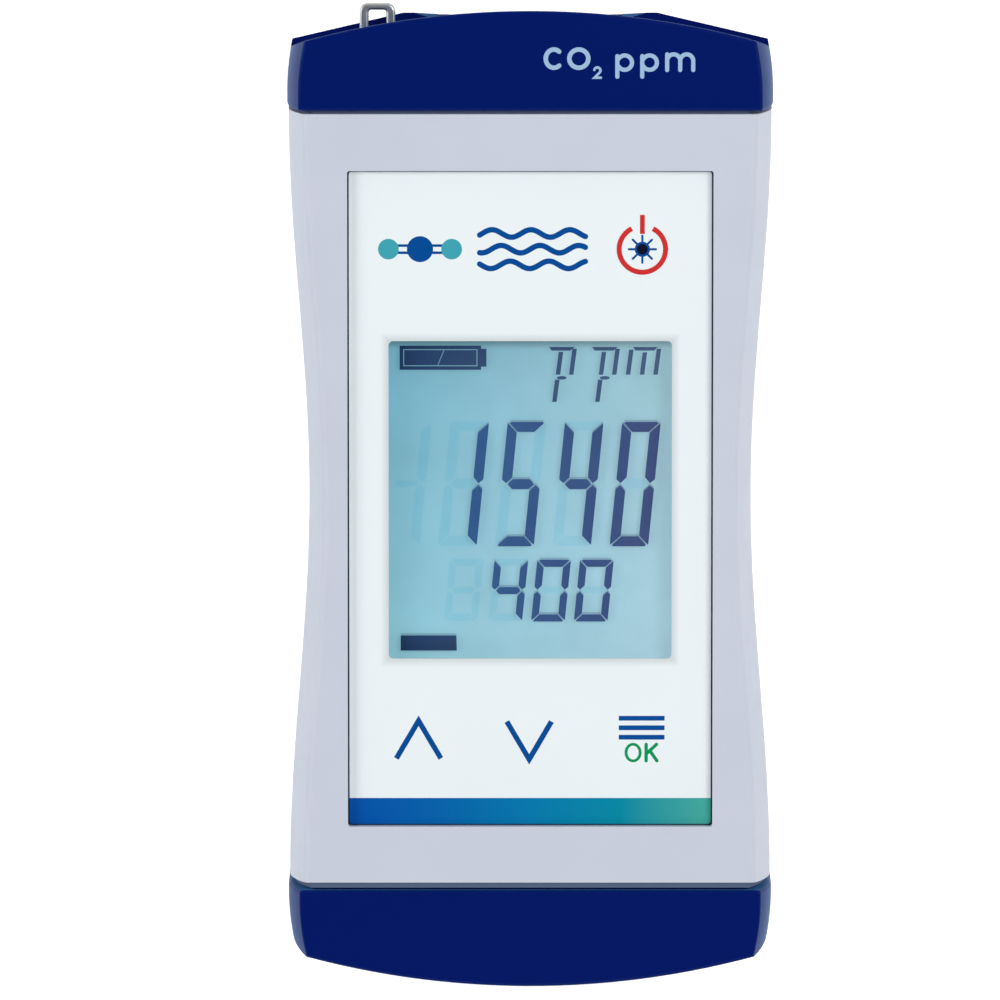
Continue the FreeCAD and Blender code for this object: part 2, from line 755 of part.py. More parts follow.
def sensor_pins():
    pitch = 2.54
    thickness = 0.6
    pins = []
    for number in range(-2, 3):
        x = number * pitch - thickness / 2
        for y in (19, 39):
            pins.append(box(x, x + thickness, y, y + thickness, SENSOR_BOARD_Z[1], BOARD_Z[0]))
    return Part.makeCompound(pins)


def vent_membrane():
    """The water stop, bonded inside the hollow end of the top cap."""
    dip_radius = (DIP_HALF_WIDTH**2 + DIP_SAGITTA**2) / (2 * DIP_SAGITTA)
    centre = HUMP_Y - DIP_SAGITTA + dip_radius
    inside = dip_radius + WALL
    sheet = upright(0, centre, 8.4, 15.4, inside + 0.35).cut(upright(0, centre, 8, 16, inside + 0.02))
    inside_cap = cap_block(CASE_HALF_LENGTH + 2, TOP_END, WALL + 0.02, True)
    return sheet.common(box(-10.3, 10.3, 40, 55, 8, 16)).common(inside_cap)


def sensor_gasket():
    low, high = SENSOR_HIGH + 0.05, HUMP_Y - DIP_SAGITTA - WALL - 0.7
    ring = box(-12.5, 12.5, low, high, 5.6, 15.6)
    return ring.cut(box(-11, 11, low - 1, high + 1, 7, 14.4))


# Batteries


def battery_holder():
    """Two tubes side by side with an end wall, standing on ribs in the rear shell."""
    wall = 0.8
    bore = CELL_RADIUS + 0.25
    low, high = -39.3, INNER_CONTACT_Y + CONTACT_THICKNESS
    tubes = [lengthwise(side * CELL_X, CELL_Z, low, high, bore + wall) for side in (-1, 1)]
    end_wall = box(-16, 16, high, high + 1.4, 3, 18)
    feet = [box(-12, 12, y, y + 2, WALL + 0.02, 6) for y in (-28, 4)]
    holder = fused(tubes + [end_wall] + feet)
    for side in (-1, 1):
        holder = holder.cut(lengthwise(side * CELL_X, CELL_Z, low - 1, high, bore))
        x = side * CELL_X
        holder = holder.cut(box(x - 3.1, x + 3.1, INNER_CONTACT_Y - 0.1, high, 10, 20))
    return holder.cut(lengthwise(0, BATTERY_SCREW_Z, low - 1, BOSS_END + 0.1, BOSS_RADIUS + 0.1))


def cell(x, positive_up):
    """An AA cell along Y; its nub points to the top end or to the battery cap."""
    body_length = CELL_LENGTH - NUB_LENGTH
    low = INNER_CONTACT_Y - CELL_LENGTH if positive_up else CAP_CONTACT_Y
    body_low = low if positive_up else low + NUB_LENGTH
    body = lengthwise(x, CELL_Z, body_low, body_low + body_length, CELL_RADIUS)
    body = body.makeFillet(0.6, [e for e in body.Edges if e.BoundBox.YLength < 0.01])
    return fused([body, lengthwise(x, CELL_Z, low, low + CELL_LENGTH, 2.7)])


def aa_cells():
    return Part.makeCompound([cell(-CELL_X, True), cell(CELL_X, False)])


def inner_contacts():
    """The two plates at the inner end, each with a tab up to the main board."""
    y = INNER_CONTACT_Y
    plates = []
    for side in (-1, 1):
        x = side * CELL_X
        plate = box(x - 3, x + 3, y, y + CONTACT_THICKNESS, 6, 18)
        tab = box(x - 1, x + 1, y, y + CONTACT_THICKNESS, 18, BOARD_Z[0])
        plates.append(plate.fuse(tab).removeSplitter())
    return Part.makeCompound(plates)


def cap_contact():
    """The plate in the battery cap that joins the two cells."""
    y = CAP_CONTACT_Y
    plate = box(-13.5, 13.5, y - CONTACT_THICKNESS, y, 7.8, 15)
    return rounded_lengthwise_edges(plate, 1.0)


def rounded_lengthwise_edges(shape, radius):
    edges = [e for e in shape.Edges if abs(e.Vertexes[0].Y - e.Vertexes[-1].Y) > 1e-6]
    return shape.makeFillet(radius, edges)


def cell_spring(x, y_low):
    """A coil of eight-sided wire, pressed between a cell's flat end and its contact."""
    wire = 0.35
    sides = 8
    turns = 3
    coil_radius = 3.2
    height = SPRING_LENGTH - 2 * wire
    helix = Part.makeHelix(height / turns, height, coil_radius)
    angles = [2 * math.pi * side / sides for side in range(sides)]
    corners = [Vector(coil_radius + wire * math.cos(a), 0, wire * math.sin(a)) for a in angles]
    section = Part.makePolygon(corners + corners[:1])
    coil = Part.Wire(helix.Edges).makePipeShell([section], True, True)
    coil.rotate(Vector(0, 0, 0), Vector(1, 0, 0), -90)
    coil.translate(Vector(x, y_low + wire, CELL_Z))
    return coil


# Screws


def cross_slot(shape, cutter_of):
    """Cuts a cross recess; cutter_of(width_a, width_b) is one bar of it."""
    return shape.cut(cutter_of(0.22, 0.9)).cut(cutter_of(0.9, 0.22))


def upright_cross(x, y, z0, z1):
    """Cuts a cross recess down to z1 from the underside of a head at (x, y)."""
    return lambda a, b: box(x - a, x + a, y - b, y + b, z0, z1)


def case_screw(x, y):
    head = upright(x, y, 1.4, 3.0, 2.1)
    screw = head.fuse(upright(x, y, 3.0, SEAM_Z + 7, 0.93))
    return cross_slot(screw, upright_cross(x, y, 1, 2.3))


def board_screw(x, y):
    under = BOARD_Z[0]
    head = upright(x, y, under - 1.0, under, 1.6)
    screw = head.fuse(upright(x, y, under, BOARD_Z[1] + 2.6, 0.63))
    return cross_slot(screw, upright_cross(x, y, under - 1.1, under - 0.5))


def top_cap_screw(x, y):
    screw = countersink(x, y, 1.95).fuse(upright(x, y, 0.5, 4.6, 0.78))
    return cross_slot(screw, upright_cross(x, y, -0.1, 0.7))


def battery_cap_screw():
    z = BATTERY_SCREW_Z
    head = lengthwise(0, z, SCREW_SEAT_Y, SCREW_SEAT_Y + 1.5, 1.9)
    screw = head.fuse(lengthwise(0, z, 38.6, SCREW_SEAT_Y, 1.0))
    end = SCREW_SEAT_Y + 1.6
    return to_lower_end(cross_slot(screw, lambda a, b: box(-a, a, end - 0.9, end, z - b, z + b)))


def screw_insert():
    sleeve = lengthwise(0, BATTERY_SCREW_Z, 37.95, CASE_HALF_LENGTH - 0.1, 1.58)
    return to_lower_end(sleeve.cut(lengthwise(0, BATTERY_SCREW_Z, 37, CASE_HALF_LENGTH, 1.05)))


def main():
    os.makedirs("parts", exist_ok=True)
    envelope = waisted(outer_outline, CASE_HALF_LENGTH)
    inside = waisted(inner_outline, CASE_HALF_LENGTH + 1)
    tube = envelope.cut(inside)
    save("front_shell", front_shell(tube, inside))
    save("rear_shell", rear_shell(tube, inside, envelope))
    for make in (
        top_cap,
        battery_cap,
        top_cap_seal,
        battery_cap_seal,
        lanyard_eye,
        front_overlay,
        keypad_spacer,
        keypad_circuit,
        display_window,
        lcd_glass,
        lcd_frame,
        lcd_zebra_strips,
        main_board,
        capacitors,
        clock_crystal,
        power_inductor,
        keypad_connector,
        buzzer,
        sensor_board,
        sensor_cavity,
        infrared_lamp,
        infrared_detector,
        sensor_pins,
        vent_membrane,
        sensor_gasket,
        battery_holder,
        aa_cells,
        inner_contacts,
        cap_contact,
        battery_cap_screw,
        screw_insert,
    ):
        save(make.__name__, make())
    save("lcd_polariser", lcd_layer(POLARISER_Z))
    save("lcd_reflector", lcd_layer(REFLECTOR_Z))
    save("lcd_backlight", lcd_layer(BACKLIGHT_Z))
    save("microcontroller", chip(2, -30, 9, 7, 1.5, 12))
    save("memory_chip", chip(5.5, 24.5, 4, 3.4, 1.3, 4))
    save("inner_spring", cell_spring(CELL_X, INNER_CONTACT_Y - SPRING_LENGTH))
    save("cap_spring", cell_spring(-CELL_X, CAP_CONTACT_Y))
    for name, (x, y) in KEYS.items():
        save(f"{name}_key", key(x, y))
        save(f"{name}_dome", snap_dome(x, y))
    save("rear_label", label_plate(0.0, 0.05, 0.3))
    save("case_screws", Part.makeCompound([case_screw(x, y) for x, y in CASE_SCREWS]))
    save("board_screws", Part.makeCompound([board_screw(x, y) for x, y in BOARD_SCREWS]))
    cap_spots = [(side * CAP_SCREW_X, CAP_SCREW_Y) for side in (-1, 1)]
    save("top_cap_screws", Part.makeCompound([top_cap_screw(x, y) for x, y in cap_spots]))


main()
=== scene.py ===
import math

import bmesh
import bpy
from mathutils import Matrix, Vector, geometry


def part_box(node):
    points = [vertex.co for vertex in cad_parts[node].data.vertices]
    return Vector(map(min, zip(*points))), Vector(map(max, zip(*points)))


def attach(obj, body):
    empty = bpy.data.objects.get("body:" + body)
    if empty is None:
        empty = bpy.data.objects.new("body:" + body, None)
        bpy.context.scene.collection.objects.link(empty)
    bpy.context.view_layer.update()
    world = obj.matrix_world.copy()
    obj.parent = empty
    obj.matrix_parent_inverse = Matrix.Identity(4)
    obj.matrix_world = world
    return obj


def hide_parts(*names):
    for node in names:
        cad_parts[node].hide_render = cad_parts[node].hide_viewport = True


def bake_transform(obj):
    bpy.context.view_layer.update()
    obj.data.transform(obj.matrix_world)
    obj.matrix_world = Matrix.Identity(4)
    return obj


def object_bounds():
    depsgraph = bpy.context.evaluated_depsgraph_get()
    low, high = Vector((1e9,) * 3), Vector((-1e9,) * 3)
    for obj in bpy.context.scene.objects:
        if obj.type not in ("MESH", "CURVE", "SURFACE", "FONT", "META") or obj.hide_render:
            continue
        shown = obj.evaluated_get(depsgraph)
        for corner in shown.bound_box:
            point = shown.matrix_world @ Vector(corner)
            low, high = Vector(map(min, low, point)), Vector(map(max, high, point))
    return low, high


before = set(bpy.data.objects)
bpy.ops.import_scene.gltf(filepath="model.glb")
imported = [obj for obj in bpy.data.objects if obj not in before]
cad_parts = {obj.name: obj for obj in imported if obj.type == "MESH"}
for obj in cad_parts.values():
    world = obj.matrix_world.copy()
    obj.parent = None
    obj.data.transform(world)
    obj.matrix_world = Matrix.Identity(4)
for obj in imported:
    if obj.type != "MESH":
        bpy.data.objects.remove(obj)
cad_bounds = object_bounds()

# Hand-held carbon dioxide monitor, lying on its back. Blender works in metres, in the frame of the
# CAD parts. Flat artwork (prints, display segments) is drawn in millimetres and scaled by MM.
MM = 0.001

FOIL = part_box("front_overlay")
FRONT_Z = cad_bounds[1].z

CAMERA_TILT = math.radians(8)  # from the front's normal towards the top end
CAMERA_DISTANCE = 1.55
CAMERA_ASIDE = -3.35 * MM  # the view's centre lies this far to the left of the object's
VIEW_WIDTH = 110.86 * MM  # across the picture, at the front of the case
SENSOR_WIDTH = 36.0

# Front artwork, in millimetres
FOIL_CORNER = 0.3
OPENING_HALF_WIDTH = 15.7  # display opening in the foil
OPENING_LOW, OPENING_HIGH = -17.92, 17.64
OPENING_CORNER = 0.5
KEY_RADIUS = 5.3
KEY_RISE = 0.1  # of a key's cushioned middle over the foil
DISPLAY_PARALLAX = 0.38  # how far the display's layers look shifted towards the top end
STRIPE_TOP = -33.6
SEGMENT_THICKNESS = 0.02

# Colours
INK_BLUE = (0.0, 0.062, 0.27)
INK_RED = (0.56, 0.027, 0.028)
INK_GREEN = (0.0, 0.27, 0.09)
INK_TEAL = (0.045, 0.33, 0.40)
INK_BLACK = (0.003, 0.004, 0.02)
FOIL_COLOUR = (0.75, 0.807, 0.824)
CAP_PRINT = (0.30, 0.45, 0.63)
CAP_BLUE = (0.0005, 0.0065, 0.11)
# painted shade: colour of the caps' ends below the brow, darker than the front
CAP_END_PAINTED_SHADE_BLUE = (0.0002, 0.003, 0.06)
FIGURE_INK = ((0.026, 0.13, 0.32), (0.066, 0.085, 0.215))  # at the display's left, and at its right
UNIT_INK = ((0.014, 0.045, 0.13), (0.085, 0.14, 0.25))

BROW_Z = 16.5 * MM  # underside of each cap's brow
CAP_END = 50.5 * MM  # the end walls lie beyond this


# Flat artwork


def circle(centre, radius, count=48):
    turns = [2 * math.pi * number / count for number in range(count)]
    return [(centre[0] + radius * math.cos(a), centre[1] + radius * math.sin(a)) for a in turns]


def oval(centre, half_width, half_height, count):
    x, y = centre
    return [(x + half_width * px, y + half_height * py) for px, py in circle((0, 0), 1, count)]


def arc(centre, radius, start, end, count=24):
    """Points along an arc, from start to end in degrees."""
    turns = [math.radians(start + (end - start) * number / count) for number in range(count + 1)]
    return [(centre[0] + radius * math.cos(a), centre[1] + radius * math.sin(a)) for a in turns]


def rounded_rectangle(x0, x1, y0, y1, radius, count=6):
    corners = [(x1, y1, 0), (x0, y1, 90), (x0, y0, 180), (x1, y0, 270)]
    loop = []
    for x, y, start in corners:
        inward_x = x - radius if x == x1 else x + radius
        inward_y = y - radius if y == y1 else y + radius
        loop += arc((inward_x, inward_y), radius, start, start + 90, count)
    return loop


def stroke(path, width, round_ends=True):
    """Closed outline of a line of that width along an open path."""
    points = [Vector(p) for p in path]
    half = width / 2
    left, right = [], []
    for number, point in enumerate(points):
        before = points[max(number - 1, 0)]
        after = points[min(number + 1, len(points) - 1)]
        into = (point - before) if number else (after - point)
        out = (after - point) if number < len(points) - 1 else into
        into, out = into.normalized(), out.normalized()
        along = (into + out).normalized()
        across = Vector((-along.y, along.x)) * half / max(along.dot(into), 0.3)
        left.append(point + across)
        right.append(point - across)
    end, start = [], []
    if round_ends:
        end = end_cap(points[-1], right[-1], half)
        start = end_cap(points[0], left[0], half)
    return [tuple(p) for p in right + end + left[::-1] + start]


def end_cap(centre, start, radius, count=8):
    """The half circle that closes a line's end, without its two ends."""
    first = math.atan2(start.y - centre.y, start.x - centre.x)
    turns = [first + math.pi * number / count for number in range(1, count)]
    return [centre + Vector((math.cos(a), math.sin(a))) * radius for a in turns]


def moved(loop, x, y):
    return [(px + x, py + y) for px, py in loop]


def slanted(loop, middle_y, slope=0.1):
    return [(x + (y - middle_y) * slope, y) for x, y in loop]


def area(loop):
    following = loop[1:] + loop[:1]
    return sum(a[0] * b[1] - b[0] * a[1] for a, b in zip(loop, following)) / 2


def divided(loops, loose=()):
    """Triangles that keep to the edges of closed loops, and for each the numbers of the loops round it."""
    points, rings = [], []
    for loop in loops:
        ring = list(range(len(points), len(points) + len(loop)))
        points += [Vector(p) for p in loop]
        rings.append(ring if area(loop) > 0 else ring[::-1])
    points += [Vector(p) for p in loose]
    made = geometry.delaunay_2d_cdt(points, [], rings, 0, 1e-6)
    return made[0], made[2], made[5]


def closed_sheet(name, points, triangles, paints, materials, low, high):
    """A closed mesh between two heights, low(x, y) and high(x, y), over flat triangles."""
    mesh = bpy.data.meshes.new(name)
    for material in materials:
        mesh.materials.append(material)
    bm = bmesh.new()
    used = sorted({corner for triangle in triangles for corner in triangle})
    top = {}
    bottom = {}
    for number in used:
        x, y = points[number]
        top[number] = bm.verts.new(Vector((x, y, high(x, y))) * MM)
        bottom[number] = bm.verts.new(Vector((x, y, low(x, y))) * MM)
    sides = {}
    for triangle, paint in zip(triangles, paints):
        bm.faces.new([top[n] for n in triangle]).material_index = paint
        bm.faces.new([bottom[n] for n in reversed(triangle)]).material_index = paint
        for a, b in zip(triangle, triangle[1:] + triangle[:1]):
            sides[(a, b)] = paint
    for (a, b), paint in sides.items():
        if (b, a) not in sides:
            bm.faces.new([top[b], top[a], bottom[a], bottom[b]]).material_index = paint
    for face in bm.faces:
        face.smooth = True
    bm.to_mesh(mesh)
    bm.free()
    mesh.set_sharp_from_angle(angle=math.radians(35))
    thing = bpy.data.objects.new(name, mesh)
    bpy.context.scene.collection.objects.link(thing)
    return thing


def printed_sheet(name, outline, openings, prints, base, low, high, loose=()):
    """A sheet with openings. Each print is a material, a loop and maybe a loop in it; later ones cover."""
    loops = [outline] + openings + [loop for entry in prints for loop in entry[1:]]
    points, triangles, holders = divided(loops, loose)
    materials = [base]
    for entry in prints:
        if entry[0] not in materials:
            materials.append(entry[0])
    kept, paints = [], []
    for triangle, holder in zip(triangles, holders):
        if 0 not in holder or any(1 <= number <= len(openings) for number in holder):
            continue
        paint = 0
        number = 1 + len(openings)
        for entry in prints:
            inside = number in holder
            if len(entry) == 3:
                inside = inside and (number + 1) not in holder
            if inside:
                paint = materials.index(entry[0])
            number += len(entry) - 1
        kept.append(list(triangle))
        paints.append(paint)
    return closed_sheet(name, points, kept, paints, materials, low, high)


def plates(name, loops, material, low, high):
    """Separate thin plates, each with the outline of one loop."""
    points, triangles, holders = divided(loops)
    kept = [list(t) for t, holder in zip(triangles, holders) if holder]
    paints = [0] * len(kept)
    return closed_sheet(name, points, kept, paints, [material], lambda x, y: low, lambda x, y: high)


# Materials

SPARK_SIZE = 0.22 * MM  # of the texture that a sparked mould leaves
SPARK_DEPTH = 0.006 * MM


def shader(name, colour, roughness, **sockets):
    """A fresh principled material; sockets are set on the shader itself."""
    material = bpy.data.materials.get(name) or bpy.data.materials.new(name)
    material.use_nodes = True
    nodes, links = material.node_tree.nodes, material.node_tree.links
    nodes.clear()
    output = nodes.new("ShaderNodeOutputMaterial")
    principled = nodes.new("ShaderNodeBsdfPrincipled")
    principled.inputs["Base Color"].default_value = (*colour, 1)
    principled.inputs["Roughness"].default_value = roughness
    for socket, value in sockets.items():
        principled.inputs[socket.replace("_", " ")].default_value = value
    links.new(principled.outputs["BSDF"], output.inputs["Surface"])
    return material


def node(material, kind, **settings):
    made = material.node_tree.nodes.new(kind)
    for key, value in settings.items():
        setattr(made, key, value)
    return made


def link(material, source, target):
    material.node_tree.links.new(source, target)


def surface(material):
    return next(n for n in material.node_tree.nodes if n.type == "BSDF_PRINCIPLED")


def place(material):
    """Position on the piece, in metres."""
    return node(material, "ShaderNodeTexCoord").outputs["Object"]


def noise(material, size, detail=2.0):
    """Noise whose lumps are about size metres across."""
    made = node(material, "ShaderNodeTexNoise")
    made.inputs["Scale"].default_value = 1 / size
    made.inputs["Detail"].default_value = detail
    link(material, place(material), made.inputs["Vector"])
    return made.outputs["Fac"]


def between(material, factor, low, high, source=(0.3, 0.7)):
    """factor, from its usual range, mapped to low and high."""
    made = node(material, "ShaderNodeMapRange")
    made.inputs["From Min"].default_value = source[0]
    made.inputs["From Max"].default_value = source[1]
    made.inputs["To Min"].default_value = low
    made.inputs["To Max"].default_value = high
    link(material, factor, made.inputs["Value"])
    return made.outputs["Result"]


def blended(material, factor, first, second):
    """Colour between two; each is a colour or a node's output."""
    made = node(material, "ShaderNodeMix", data_type="RGBA")
    for socket, value in ((6, first), (7, second)):
        if isinstance(value, tuple):
            made.inputs[socket].default_value = (*value, 1)
        else:
            link(material, value, made.inputs[socket])
    link(material, factor, made.inputs[0])
    return made.outputs[2]


def times(material, colour, factor):
    """A colour output, darkened by a colour or by a factor output."""
    made = node(material, "ShaderNodeMix", data_type="RGBA", blend_type="MULTIPLY")
    made.inputs[0].default_value = 1.0
    link(material, colour, made.inputs[6])
    if isinstance(factor, tuple):
        made.inputs[7].default_value = (*factor, 1)
    else:
        link(material, factor, made.inputs[7])
    return made.outputs[2]


def maths(material, operation, first, second=None):
    made = node(material, "ShaderNodeMath", operation=operation)
    for socket, value in enumerate((first, second)):
        if isinstance(value, float):
            made.inputs[socket].default_value = value
        elif value is not None:
            link(material, value, made.inputs[socket])
    return made.outputs["Value"]


def shade(colour, factor):
    return tuple(min(channel * factor, 1.0) for channel in colour)


def add_bump(material, height, depth, strength=1.0):
    bump = node(material, "ShaderNodeBump")
    bump.inputs["Strength"].default_value = strength
    bump.inputs["Distance"].default_value = depth
    link(material, height, bump.inputs["Height"])
    link(material, bump.outputs["Normal"], surface(material).inputs["Normal"])


def vary(material, colour, spread, size):
    """Slow changes of tone over the surface."""
    tone = blended(material, noise(material, size), shade(colour, 1 - spread), shade(colour, 1 + spread))
    link(material, tone, surface(material).inputs["Base Color"])


def moulded(name, colour, roughness, **sockets):
    """Moulded plastic or rubber with a fine sparked texture."""
    material = shader(name, colour, roughness, **sockets)
    vary(material, colour, 0.03, 9 * MM)
    rough = between(material, noise(material, 2.5 * MM, 4), roughness - 0.05, roughness + 0.05)
    link(material, rough, surface(material).inputs["Roughness"])
    add_bump(material, noise(material, SPARK_SIZE, 3), SPARK_DEPTH)
    return material


def cap_plastic():
    """Dark blue plastic with a satin front; the ends of the caps, below the brow, are left coarser and
    painted darker as shade.
    """
    satin = 0.36
    material = shader(
        "cap_plastic",
        CAP_BLUE,
        satin,
        Specular_IOR_Level=0.08,
        Specular_Tint=(0.45, 0.8, 1.0, 1.0),
        Sheen_Weight=0.3,
        Sheen_Roughness=0.4,
        Sheen_Tint=(0.12, 0.5, 1.0, 1.0),
    )
    spread = node(material, "ShaderNodeSeparateXYZ")
    link(material, place(material), spread.inputs["Vector"])
    below = between(material, spread.outputs["Z"], 1.0, 0.0, (BROW_Z - 0.1 * MM, BROW_Z))
    from_middle = maths(material, "ABSOLUTE", spread.outputs["Y"])
    beyond = between(material, from_middle, 0.0, 1.0, (CAP_END, CAP_END + MM))
    coarse_and_painted_shade = maths(material, "MULTIPLY", below, beyond)
    rough = blended(material, coarse_and_painted_shade, (satin, satin, satin), (1.0, 1.0, 1.0))
    link(material, rough, surface(material).inputs["Roughness"])
    # painted shade: the coarse ends are also coloured darker
    tone = blended(material, coarse_and_painted_shade, CAP_BLUE, CAP_END_PAINTED_SHADE_BLUE)
    link(material, tone, surface(material).inputs["Base Color"])
    add_bump(material, noise(material, SPARK_SIZE, 3), SPARK_DEPTH)
    return material


def metal(name, colour, roughness, depth=0.003 * MM):
    """Metal with fine pits of that depth."""
    material = shader(name, colour, roughness, Metallic=1.0)
    vary(material, colour, 0.08, 3 * MM)
    pits = noise(material, 0.12 * MM, 3)
    rough = between(material, pits, roughness - 0.08, roughness + 0.1)
    link(material, rough, surface(material).inputs["Roughness"])
    if depth:
        add_bump(material, pits, depth)
    return material


def pebbled_film(name, colour, roughness=0.32):
    """Polyester film, very slightly pebbled, in one even colour."""
    material = shader(name, colour, roughness, Specular_IOR_Level=0.12)
    rough = between(material, noise(material, 1.5 * MM, 4), roughness - 0.03, roughness + 0.04)
    link(material, rough, surface(material).inputs["Roughness"])
    add_bump(material, noise(material, 0.12 * MM, 2), 0.0015 * MM)
    return material


def film(name, colour, roughness=0.32):
    """Printed polyester film."""
    material = pebbled_film(name, colour, roughness)
    vary(material, colour, 0.012, 12 * MM)
    return material


def keypad_film():
    """Pale film, with painted shade: a little darker close round the display opening."""
    material = film("keypad_film", FOIL_COLOUR)
    split = node(material, "ShaderNodeSeparateXYZ")
    link(material, place(material), split.inputs["Vector"])
    middle = (OPENING_LOW + OPENING_HIGH) / 2 * MM
    half_height = (OPENING_HIGH - OPENING_LOW) / 2 * MM
    aside = maths(material, "ABSOLUTE", split.outputs["X"])
    beside = maths(material, "SUBTRACT", aside, OPENING_HALF_WIDTH * MM)
    lifted = maths(material, "ABSOLUTE", maths(material, "SUBTRACT", split.outputs["Y"], middle))
    beyond = maths(material, "SUBTRACT", lifted, half_height)
    distance = maths(material, "MAXIMUM", beside, beyond)
    base = surface(material).inputs["Base Color"]
    # painted shade: the film is coloured darker towards the edge of the display opening
    painted_shade = between(material, distance, 0.76, 1.0, (0.0, 0.9 * MM))
    link(material, times(material, base.links[0].from_socket, painted_shade), base)
    return material


def stripe_film():
    """The band at the foot of the keypad, blue at the left and sea green at the right."""
    material = pebbled_film("stripe_film", INK_BLUE)
    half = FOIL[1].x
    spread = node(material, "ShaderNodeSeparateXYZ")
    link(material, place(material), spread.inputs["Vector"])
    across = between(material, spread.outputs["X"], 0, 1, (-half, half))
    ramp = node(material, "ShaderNodeValToRGB")
    stops = [
        (0.0, (0.0, 0.072, 0.35)),
        (0.25, (0.0, 0.11, 0.36)),
        (0.5, (0.0, 0.17, 0.37)),
        (0.75, (0.0, 0.225, 0.33)),
        (1.0, (0.055, 0.36, 0.295)),
    ]
    elements = ramp.color_ramp.elements
    while len(elements) < len(stops):
        elements.new(0.5)
    for element, (position, colour) in zip(elements, stops):
        element.position = position
        element.color = (*colour, 1)
    link(material, across, ramp.inputs["Fac"])
    link(material, ramp.outputs["Color"], surface(material).inputs["Base Color"])
    return material


def display_glow(name, tint=(1.0, 1.0, 1.0)):
    """The lit background of the display: blue at the upper left, paler towards the lower right, with
    painted shadow along the top.
    """
    material = shader(name, (0.2, 0.4, 0.5), 0.5)
    spread = node(material, "ShaderNodeSeparateXYZ")
    link(material, place(material), spread.inputs["Vector"])
    half = OPENING_HALF_WIDTH * MM
    across = between(material, spread.outputs["X"], 0, 1, (-half, half))
    down = between(material, spread.outputs["Y"], 0, 1, (OPENING_HIGH * MM, OPENING_LOW * MM))
    upper = blended(material, across, (0.195, 0.468, 0.61), (0.382, 0.605, 0.694))
    lower = blended(material, across, (0.29, 0.588, 0.70), (0.46, 0.693, 0.814))
    tone = times(material, blended(material, down, upper, lower), tint)
    # painted shadow of the foil's edge: the strip along the top of the display is coloured darker
    shaded = 0.8 * MM
    seen_top = (OPENING_HIGH - DISPLAY_PARALLAX) * MM
    painted_edge_shadow = between(material, spread.outputs["Y"], 1.0, 0.6, (seen_top - shaded, seen_top))
    tone = times(material, tone, painted_edge_shadow)
    tone = times(material, tone, between(material, noise(material, 7 * MM, 3), 0.9, 1.0))
    lamp_share, room_share = 0.7, 0.38  # of the display's own lamp, and of the room's light
    from_room = times(material, tone, (room_share, room_share, room_share))
    link(material, from_room, surface(material).inputs["Base Color"])
    link(material, tone, surface(material).inputs["Emission Color"])
    surface(material).inputs["Emission Strength"].default_value = lamp_share
    surface(material).inputs["Specular IOR Level"].default_value = 0.0
    return material


def segment_ink(name, left, right):
    """Dark liquid crystal, bluer at the left of the display than at the right."""
    material = shader(name, left, 0.5)
    spread = node(material, "ShaderNodeSeparateXYZ")
    link(material, place(material), spread.inputs["Vector"])
    half = OPENING_HALF_WIDTH * MM
    across = between(material, spread.outputs["X"], 0, 1, (-half, half))
    tone = blended(material, across, left, right)
    patches = between(material, noise(material, 4 * MM, 2), 0, 0.25)
    patchy = blended(material, patches, tone, (0.02, 0.06, 0.2))
    link(material, patchy, surface(material).inputs["Base Color"])
    surface(material).inputs["Specular IOR Level"].default_value = 0.0
    return material


def clear(name, tint, roughness=0.05, gloss=0.028):
    """Clear plastic or glass: see-through, with a faint reflection that grows at a slant, on both faces."""
    material = bpy.data.materials.get(name) or bpy.data.materials.new(name)
    material.use_nodes = True
    nodes = material.node_tree.nodes
    nodes.clear()
    output = nodes.new("ShaderNodeOutputMaterial")
    through = nodes.new("ShaderNodeBsdfTransparent")
    through.inputs["Color"].default_value = (*tint, 1)
    shine = nodes.new("ShaderNodeBsdfGlossy")
    rough = between(material, noise(material, 3 * MM, 3), roughness, roughness + 0.04)
    link(material, rough, shine.inputs["Roughness"])
    mix = nodes.new("ShaderNodeMixShader")
    slant = nodes.new("ShaderNodeLayerWeight").outputs["Facing"]
    reflected = between(material, maths(material, "POWER", slant, 5.0), gloss, 1.0, (0.0, 1.0))
    link(material, reflected, mix.inputs["Fac"])
    link(material, through.outputs["BSDF"], mix.inputs[1])
    link(material, shine.outputs["BSDF"], mix.inputs[2])
    link(material, mix.outputs["Shader"], output.inputs["Surface"])
    return material


def finish_cad_nodes():
    """Every CAD part that stays visible gets its finish by its material slot."""
    moulded("case_plastic", (0.52, 0.555, 0.64), 0.45, Specular_IOR_Level=0.3)
    cap_plastic()
    moulded("seal_rubber", (0.06, 0.09, 0.17), 0.7)
    metal("bright_steel", (0.46, 0.48, 0.47), 0.38, depth=0.0)
    metal("spring_steel", (0.55, 0.54, 0.50), 0.35)
    keypad_film()
    film("clear_film", (0.02, 0.05, 0.09))
    clear("window_pane", (0.99, 1.0, 1.0))
    clear("display_glass", (0.99, 1.0, 0.995))
    display_glow("reflector_film")
    moulded("light_guide", (0.85, 0.87, 0.85), 0.3)
    moulded("black_plastic", (0.015, 0.015, 0.017), 0.5)
    moulded("contact_rubber", (0.02, 0.02, 0.022), 0.75)
    moulded("circuit_board", (0.01, 0.11, 0.04), 0.35)
    moulded("chip_plastic", (0.012, 0.012, 0.014), 0.55)
    moulded("chip_ceramic", (0.35, 0.25, 0.16), 0.45)
    moulded("ferrite", (0.05, 0.05, 0.052), 0.6)
    moulded("connector_plastic", (0.75, 0.72, 0.62), 0.45)
    metal("gold_coating", (0.85, 0.6, 0.22), 0.3)
    metal("brass", (0.62, 0.45, 0.17), 0.35)
    moulded("membrane", (0.75, 0.76, 0.75), 0.85)
    moulded("foam_rubber", (0.03, 0.03, 0.032), 0.9)
    moulded("cell_sleeve", (0.05, 0.08, 0.12), 0.3)
    film("label_film", (0.62, 0.63, 0.63), 0.4)


# Keypad


def key_centre(name):
    low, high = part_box(f"{name}_key")
    centre = (low + high) / 2 / MM
    return centre.x, centre.y


